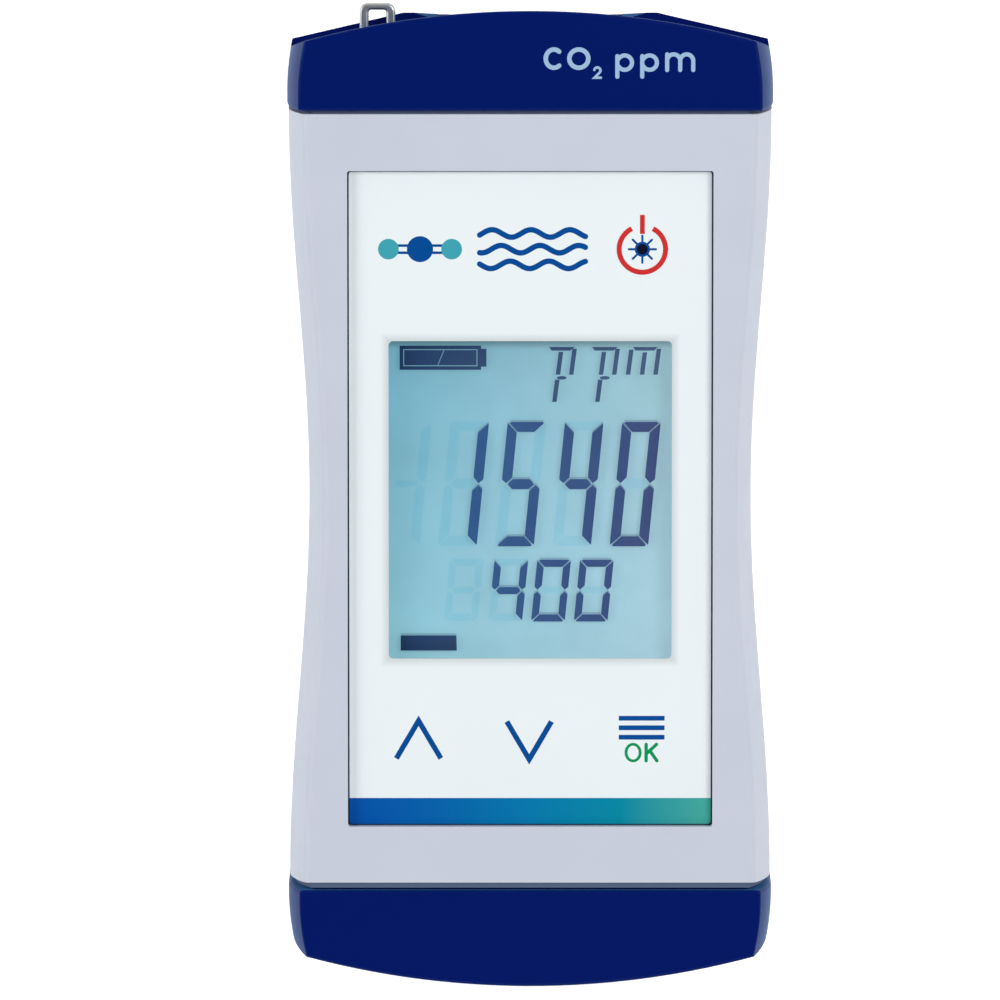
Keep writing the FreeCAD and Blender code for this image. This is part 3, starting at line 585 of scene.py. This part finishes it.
def power_symbol(x, y):
    """A broken ring and its bar round a small sun, for the key that also lights the display."""
    centre = (x, y)
    red = film("ink_red", INK_RED)
    blue = film("ink_blue", INK_BLUE)
    black = film("ink_black", INK_BLACK)
    ring_radius, ring_line = 2.57, 0.57
    half_break = 27  # degrees, from the top to each end of the ring
    bar_low, bar_high, bar_width = 1.7, 3.83, 0.54
    ray_start, ray_end, ray_line, rays = 0.5, 1.5, 0.25, 8
    sun_radius, middle_radius = 0.85, 0.6
    ring = arc(centre, ring_radius, 90 + half_break, 450 - half_break, 60)
    prints = [
        (red, stroke(ring, ring_line, False)),
        (red, stroke([(x, y + bar_low), (x, y + bar_high)], bar_width, False)),
    ]
    for number in range(rays):
        angle = math.radians(360 / rays * number)
        ray = [(x + r * math.cos(angle), y + r * math.sin(angle)) for r in (ray_start, ray_end)]
        prints.append((blue, stroke(ray, ray_line)))
    prints.append((blue, circle(centre, sun_radius, 32)))
    prints.append((black, circle(centre, middle_radius, 24)))
    return prints


def arrow_symbol(x, y, direction):
    """An open arrowhead that points up, direction 1, or down, -1."""
    half_width, foot, tip, line = 2.48, 2.15, 2.1, 0.6
    foot_y = y - direction * foot
    path = [(x - half_width, foot_y), (x, y + direction * tip), (x + half_width, foot_y)]
    return [(film("ink_blue", INK_BLUE), stroke(path, line, False))]


def menu_symbol(x, y):
    """Three bars for the menu, and OK below them."""
    blue = film("ink_blue", INK_BLUE)
    green = film("ink_green", INK_GREEN)
    prints = []
    bar_half_width, bar_line = 2.55, 0.53
    for bar_y in (2.38, 1.31, 0.25):
        bar = [(x - bar_half_width, y + bar_y), (x + bar_half_width, y + bar_y)]
        prints.append((blue, stroke(bar, bar_line, False)))
    letter_top, letter_foot, line = y - 0.55, y - 2.41, 0.38
    ring_x, ring_y = x - 0.95, y - 1.48
    outer = oval((ring_x, ring_y), 0.95, 1.1, 40)
    inner = oval((ring_x, ring_y), 0.62, 0.78, 40)
    prints.append((green, outer, inner))
    stem_x = x + 0.5
    prints.append((green, stroke([(stem_x, letter_top), (stem_x, letter_foot)], line)))
    prints.append((green, stroke([(stem_x + 1.15, letter_top), (stem_x + 0.1, y - 1.55)], line)))
    prints.append((green, stroke([(stem_x + 0.4, y - 1.25), (stem_x + 1.2, letter_foot)], line)))
    return prints


def air_symbol():
    """A plain picture of the gas and of moving air: a three-atom molecule and three waves."""
    blue = film("ink_blue", INK_BLUE)
    teal = film("ink_teal", INK_TEAL)
    x, y = -12.2, 27.9  # the middle atom
    middle_radius, outer_radius, reach = 1.45, 1.15, 3.5
    bond_start, bond_end, bond_lift, bond_line = 0.8, 3.2, 0.4, 0.3
    prints = []
    for side in (-1, 1):
        for lift in (-bond_lift, bond_lift):
            bond = [(x + side * bond_start, y + lift), (x + side * bond_end, y + lift)]
            prints.append((blue, stroke(bond, bond_line, False)))
        prints.append((teal, circle((x + side * reach, y), outer_radius)))
    prints.append((blue, circle((x, y), middle_radius)))
    wave_start, wave_span, wave_line = -5.6, 11.7, 0.62
    wave_length, wave_height, wave_spacing = 4.3, 0.42, 1.75
    steps = 48
    for number in (-1, 0, 1):
        wave = []
        for step in range(steps + 1):
            along = wave_start + wave_span * step / steps
            swing = wave_height * math.sin(2 * math.pi * (along + number) / wave_length)
            wave.append((along, y + number * wave_spacing + swing))
        prints.append((blue, stroke(wave, wave_line)))
    return prints


def build_overlay():
    """The printed front foil, with its display opening, and round holes that the keys fill."""
    half_x, half_y = FOIL[1].x / MM, FOIL[1].y / MM
    low, high = FOIL[0].z / MM, FOIL[1].z / MM
    outline = rounded_rectangle(-half_x, half_x, -half_y, half_y, FOIL_CORNER)
    opening = rounded_rectangle(
        -OPENING_HALF_WIDTH, OPENING_HALF_WIDTH, OPENING_LOW, OPENING_HIGH, OPENING_CORNER
    )
    holes = [circle(key_centre(name), KEY_RADIUS, 64) for name in KEY_SYMBOLS]
    margin = 1.0  # the stripe is drawn past the foil's edges, which cut it off
    stripe = [
        (-half_x - margin, -half_y - margin),
        (half_x + margin, -half_y - margin),
        (half_x + margin, STRIPE_TOP),
        (-half_x - margin, STRIPE_TOP),
    ]
    prints = [(stripe_film(), stripe)] + air_symbol()
    foil = bpy.data.materials["keypad_film"]
    sheet = printed_sheet(
        "front_foil", outline, [opening] + holes, prints, foil, lambda x, y: low, lambda x, y: high
    )
    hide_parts("front_overlay")
    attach(sheet, "case")


def build_key(name, symbol):
    """One cushioned key with its symbol, which fills a round hole in the foil."""
    x, y = key_centre(name)
    low, high = FOIL[0].z / MM, FOIL[1].z / MM

    def lift(px, py):
        share = min(math.hypot(px - x, py - y) / KEY_RADIUS, 1.0)
        return KEY_RISE * (1 + math.cos(math.pi * share)) / 2

    loose = [(x, y)]
    for ring in range(1, 12):
        loose += circle((x, y), KEY_RADIUS * ring / 12, 40)
    patch = printed_sheet(
        f"{name}_key_foil",
        circle((x, y), KEY_RADIUS, 64),
        [],
        symbol(x, y),
        bpy.data.materials["keypad_film"],
        lambda px, py: low + lift(px, py),
        lambda px, py: high + lift(px, py),
        loose,
    )
    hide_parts(f"{name}_key")
    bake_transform(patch)


DOWN_ARROW_SHIFT = (-0.11, -0.14)  # the print isn't quite central on this key

KEY_SYMBOLS = {
    "power": power_symbol,
    "up": lambda x, y: arrow_symbol(x, y, 1),
    "down": lambda x, y: arrow_symbol(x + DOWN_ARROW_SHIFT[0], y + DOWN_ARROW_SHIFT[1], -1),
    "menu": menu_symbol,
}


# Display

SEGMENTS_LIT = {"0": "abcdef", "1": "bc", "4": "bcfg", "5": "acdfg", "8": "abcdefg"}


def digit_bars(width, height, bar):
    """The seven bars of an upright digit from the origin, with mitred gaps between them."""
    gap = 0.1  # half of the one between two bars
    middle = height / 2
    w, h, s = width, height, bar
    round_off = 0.3 * s
    top = [
        (s + gap, h - s),
        (w - s - gap, h - s),
        (w - gap - 0.1 * s, h - 0.1 * s),
        (w - gap - round_off, h),
        (gap + round_off, h),
        (gap + 0.1 * s, h - 0.1 * s),
    ]
    upper_left = [
        (0, middle + 0.4 * s + gap),
        (0.45 * s, middle + gap),
        (s, middle + 0.6 * s + gap),
        (s, h - s - gap),
        (0.06 * s, h - gap - 0.06 * s),
        (0, h - gap - 0.2 * s),
    ]
    centre = [
        (0.5 * s + gap, middle),
        (s + gap, middle - s / 2),
        (w - s - gap, middle - s / 2),
        (w - 0.5 * s - gap, middle),
        (w - s - gap, middle + s / 2),
        (s + gap, middle + s / 2),
    ]

    def flipped(loop, in_x, in_y):
        return [(w - x if in_x else x, h - y if in_y else y) for x, y in loop]

    return {
        "a": top,
        "b": flipped(upper_left, True, False),
        "c": flipped(upper_left, True, True),
        "d": flipped(top, False, True),
        "e": flipped(upper_left, False, True),
        "f": upper_left,
        "g": centre,
    }


def number_bars(text, right_edges, low, width, height, bar, lit=True):
    """Outlines of the lit bars of a row of digits, or of the unlit ones."""
    bars = digit_bars(width, height, bar)
    loops = []
    for character, right in zip(text, right_edges):
        for name, loop in bars.items():
            if (name in SEGMENTS_LIT[character]) == lit:
                loops.append(slanted(moved(loop, right - width, low), low + height / 2))
    return loops


BIG = {"low": -5.58, "width": 4.28, "height": 13.94, "bar": 1.12}
BIG_PITCH = 6.35
BIG_RIGHT = [13.8 - BIG_PITCH * number for number in (3, 2, 1, 0)]  # right edges of the digits
SMALL = {"low": -14.03, "width": 3.75, "height": 6.94, "bar": 0.8}
SMALL_PITCH = 4.75
SMALL_RIGHT = [8.95 - SMALL_PITCH * number for number in (2, 1, 0)]
SPARE_SMALL_RIGHT = -5.5  # of a fourth figure, which stays unlit


def unit_bars():
    """ppm, as bars of a starburst display."""
    top, waist, foot = 16.75, 13.65, 10.6
    bar = 0.5
    roof = top - 0.4  # underside of a level bar at the top
    loops = []

    def upright(x, high, low):
        loops.append(slanted(stroke([(x, high), (x, low)], bar, False), waist, 0.13))

    for x in (2.0, 6.77):
        loops.append(slanted([(x, top), (x + 0.3, roof), (x + 2.4, roof), (x + 2.85, top)], waist, 0.03))
        upright(x + 1.08, top - 0.55, waist)
        upright(x + 2.55, top - 0.2, waist)
        loops.append(oval((x + 1.5, waist - 0.35), 0.55, 0.2, 20))
        upright(x + 1.08, waist - 0.55, foot)
    left = 10.85
    loops.append([(left + 0.55, top), (left + 0.8, roof), (left + 2.9, roof), (left + 3.3, top)])
    for x, high in ((left, top - 0.3), (left + 1.55, top - 0.6), (left + 3.05, top - 0.2)):
        upright(x, high, waist)
    return loops


def battery_bars():
    """A full battery: the outline, and a filling split by a slanting line."""
    x0, x1, y0, y1 = -14.48, -5.45, 14.2, 16.9
    knob_length, shoulder = 0.6, 0.35
    wall = 0.4
    inset = 0.5  # of the filling, from the outside
    split = 0.09  # width of the slanting line
    outer = [
        (x0, y0),
        (x1, y0),
        (x1, y0 + shoulder),
        (x1 + knob_length, y0 + shoulder),
        (x1 + knob_length, y1 - shoulder),
        (x1, y1 - shoulder),
        (x1, y1),
        (x0, y1),
    ]
    inner = [(x0 + wall, y0 + wall), (x1 - wall, y0 + wall), (x1 - wall, y1 - wall), (x0 + wall, y1 - wall)]
    low, high = y0 + inset, y1 - inset
    split_low, split_high = -10.3, -9.6
    left = [(x0 + inset, low), (split_low, low), (split_high, high), (x0 + inset, high)]
    right = [(split_low + split, low), (x1 - inset, low), (x1 - inset, high), (split_high + split, high)]
    return outer, inner, [left, right]


def build_display_glass():
    """The glass plates with the polariser on them, as one clear block with ground edges."""
    low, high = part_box("lcd_glass")[0] / MM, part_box("lcd_polariser")[1] / MM
    inset = 0.05  # keeps the block's faces clear of the pieces above and below
    corner = 0.3
    outline = rounded_rectangle(low.x, -low.x, low.y, -low.y, corner)
    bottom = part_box("lcd_reflector")[1].z / MM - inset
    top = high.z - inset
    glass = bpy.data.materials["display_glass"]
    block = printed_sheet(
        "display_glass_plates", outline, [], [], glass, lambda x, y: bottom, lambda x, y: top
    )
    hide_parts("lcd_glass", "lcd_polariser")
    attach(block, "case")


def build_display():
    """The lit bars inside the glass; the unlit ones, and painted shadows of the lit ones as darker plates
    on the reflector.
    """
    reflector_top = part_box("lcd_reflector")[1].z / MM
    glass_low, glass_high = (corner.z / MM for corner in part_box("lcd_glass"))
    crystal = (glass_low + glass_high) / 2
    crystal_top = crystal + SEGMENT_THICKNESS
    ink = segment_ink("segment_ink", *FIGURE_INK)
    dark_ink = segment_ink("dark_segment_ink", *UNIT_INK)
    outer, inner, filling = battery_bars()
    bar = [(-14.4, -17.3), (-8.15, -17.3), (-8.2, -15.6), (-14.4, -15.6)]
    big = number_bars("1540", BIG_RIGHT, **BIG)
    small = number_bars("400", SMALL_RIGHT, **SMALL)
    unit = unit_bars()
    pieces = [
        plates("value_segments", big, ink, crystal, crystal_top),
        plates("second_value_segments", small, ink, crystal, crystal_top),
        plates("unit_segments", unit, dark_ink, crystal, crystal_top),
        plates("bar_segment", [bar], dark_ink, crystal, crystal_top),
        plates("battery_filling_segments", filling, dark_ink, crystal, crystal_top),
        printed_sheet(
            "battery_outline_segment",
            outer,
            [inner],
            [],
            dark_ink,
            lambda x, y: crystal,
            lambda x, y: crystal_top,
        ),
    ]
    minus = stroke([(-14.9, 1.4), (-12.4, 1.4)], 0.7, False)
    unlit = number_bars("1540", BIG_RIGHT, lit=False, **BIG)
    unlit += number_bars("1", [BIG_RIGHT[0] - BIG_PITCH], **BIG)
    unlit += number_bars("400", SMALL_RIGHT, lit=False, **SMALL)
    unlit += number_bars("8", [SPARE_SMALL_RIGHT], **SMALL)
    unlit.append(minus)
    ghost = display_glow("unlit_segment", (0.84, 0.95, 0.99))
    ghost_top = reflector_top + SEGMENT_THICKNESS / 2
    pieces.append(plates("unlit_segments", unlit, ghost, reflector_top, ghost_top))
    # painted shadow: darker copies of the lit bars, shifted towards the top end, lying on the reflector
    shadow = display_glow("segment_shadow", (0.66, 0.68, 0.74))
    shadow_shift = 0.16
    shadow_top = reflector_top + SEGMENT_THICKNESS
    cast = [moved(loop, 0, shadow_shift) for loop in big + small + [bar]]
    pieces.append(plates("segment_shadows", cast, shadow, reflector_top, shadow_top))
    for piece in pieces:
        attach(piece, "case")


# Print on the top cap


def build_cap_print():
    """CO2 and ppm, the gas and the unit, in rounded strokes."""
    base, height = 47.93, 2.53  # foot and height of the capitals
    line, small_line, figure_line = 0.5, 0.46, 0.27
    inset = line / 2
    half = height / 2

    def curve(centre_x, half_width, half_height, start, end):
        """Part of an oval, at the middle of the capitals."""
        turns = arc((0, 0), 1, start, end, 28)
        return [(centre_x + half_width * px, base + half + half_height * py) for px, py in turns]

    ring = [curve(5.35, 1.3 - edge, half - edge, 0, 360)[:-1] for edge in (0, line)]
    loops = [stroke(curve(2.6, 1.15 - inset, half - inset, 50, 310), line)]
    figure_x, figure_foot = 7.4, base - 0.85
    figure = arc((figure_x, base - 0.05), 0.34, 170, -40, 12)
    figure += [(figure_x - 0.32, figure_foot), (figure_x + 0.4, figure_foot)]
    loops.append(stroke(figure, figure_line))
    bowl = 0.82
    top = base + 2 * bowl
    foot = base - 0.75
    for stem_x in (9.6, 12.35):
        loops.append(stroke([(stem_x, top - inset + 0.15), (stem_x, foot)], small_line))
        loops.append(stroke(arc((stem_x + bowl, base + bowl), bowl - 0.02, 150, -150, 24), small_line))
    stem_x = 15.1
    arch = 0.72
    loops.append(stroke([(stem_x, top + 0.1), (stem_x, base)], small_line))
    for start_x in (stem_x, stem_x + 2 * arch):
        path = arc((start_x + arch, top - 0.62), arch, 180, 0, 16) + [(start_x + 2 * arch, base)]
        loops.append(stroke(path, small_line))
    points, triangles, holders = divided(ring + loops)
    kept = []
    for triangle, holder in zip(triangles, holders):
        in_the_hole = 0 in holder and 1 in holder
        if holder and not in_the_hole:
            kept.append(list(triangle))
    print_blue = film("cap_print", CAP_PRINT, 0.45)
    below, above = FRONT_Z / MM - 0.02, FRONT_Z / MM + 0.01
    paints = [0] * len(kept)
    letters = closed_sheet(
        "cap_print", points, kept, paints, [print_blue], lambda x, y: below, lambda x, y: above
    )
    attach(letters, "case")


# Scene round the object


def build_floor():
    """A plain white floor, which the camera sees lit evenly, so that shadows on it stay faint."""
    floor_material = shader("floor_white", (0.9, 0.9, 0.9), 0.9, Specular_IOR_Level=0.0)
    surface(floor_material).inputs["Emission Color"].default_value = (1, 1, 1, 1)
    seen = node(floor_material, "ShaderNodeLightPath").outputs["Is Camera Ray"]
    glow = between(floor_material, seen, 0.1, 0.55, (0, 1))
    link(floor_material, glow, surface(floor_material).inputs["Emission Strength"])
    mesh = bpy.data.meshes.new("floor")
    reach = 3.0
    depth = -0.02 * MM
    corners = [(x * reach, y * reach, depth) for x, y in ((-1, -1), (1, -1), (1, 1), (-1, 1))]
    mesh.from_pydata(corners, [], [(0, 1, 2, 3)])
    mesh.materials.append(floor_material)
    floor = bpy.data.objects.new("floor", mesh)
    bpy.context.scene.collection.objects.link(floor)


def add_lamp(name, direction, distance, size, power):
    lamp = bpy.data.lights.new(name, "AREA")
    lamp.shape = "DISK"
    lamp.size = size
    lamp.energy = power
    thing = bpy.data.objects.new(name, lamp)
    bpy.context.scene.collection.objects.link(thing)
    towards = Vector(direction).normalized()
    thing.location = towards * distance
    thing.rotation_euler = towards.to_track_quat("Z", "Y").to_euler()


def light_scene():
    """Soft light from the upper right, fill from the other sides, and a pale room, darker overhead."""
    add_lamp("key_lamp", (0.65, 0.35, 1.0), 1.0, 0.5, 5.3)
    add_lamp("left_lamp", (-1.0, 0.25, 0.75), 1.0, 0.5, 4.2)
    add_lamp("front_lamp", (0.1, -0.8, 1.0), 1.0, 0.5, 1.7)
    world = bpy.data.worlds.new("room")
    bpy.context.scene.world = world
    world.use_nodes = True
    nodes, links = world.node_tree.nodes, world.node_tree.links
    background = nodes["Background"]
    place_node = nodes.new("ShaderNodeTexCoord")
    split = nodes.new("ShaderNodeSeparateXYZ")
    ramp = nodes.new("ShaderNodeValToRGB")
    ramp.color_ramp.elements[0].position = 0.0
    ramp.color_ramp.elements[0].color = (1, 1, 1, 1)
    ramp.color_ramp.elements[1].position = 0.9
    ramp.color_ramp.elements[1].color = (0.08, 0.08, 0.085, 1)
    links.new(place_node.outputs["Generated"], split.inputs["Vector"])
    links.new(split.outputs["Z"], ramp.inputs["Fac"])
    links.new(ramp.outputs["Color"], background.inputs["Color"])
    background.inputs["Strength"].default_value = 1.0
    bpy.context.scene.view_settings.view_transform = "Standard"


def place_camera():
    target = Vector((CAMERA_ASIDE, 0, FRONT_Z))
    back = Vector((0, math.sin(CAMERA_TILT), math.cos(CAMERA_TILT)))
    up = Vector((0, math.cos(CAMERA_TILT), -math.sin(CAMERA_TILT)))
    camera = bpy.data.cameras.new("camera")
    camera.sensor_width = SENSOR_WIDTH
    camera.lens = SENSOR_WIDTH * CAMERA_DISTANCE / VIEW_WIDTH
    camera.clip_start = 0.1
    thing = bpy.data.objects.new("camera", camera)
    bpy.context.scene.collection.objects.link(thing)
    thing.location = target + back * CAMERA_DISTANCE
    thing.rotation_euler = Matrix((Vector((1, 0, 0)), up, back)).transposed().to_euler()
    bpy.context.scene.camera = thing


place_camera()
light_scene()
build_floor()
finish_cad_nodes()
build_overlay()
for key_name, key_symbol in KEY_SYMBOLS.items():
    build_key(key_name, key_symbol)
build_display_glass()
build_display()
build_cap_print()
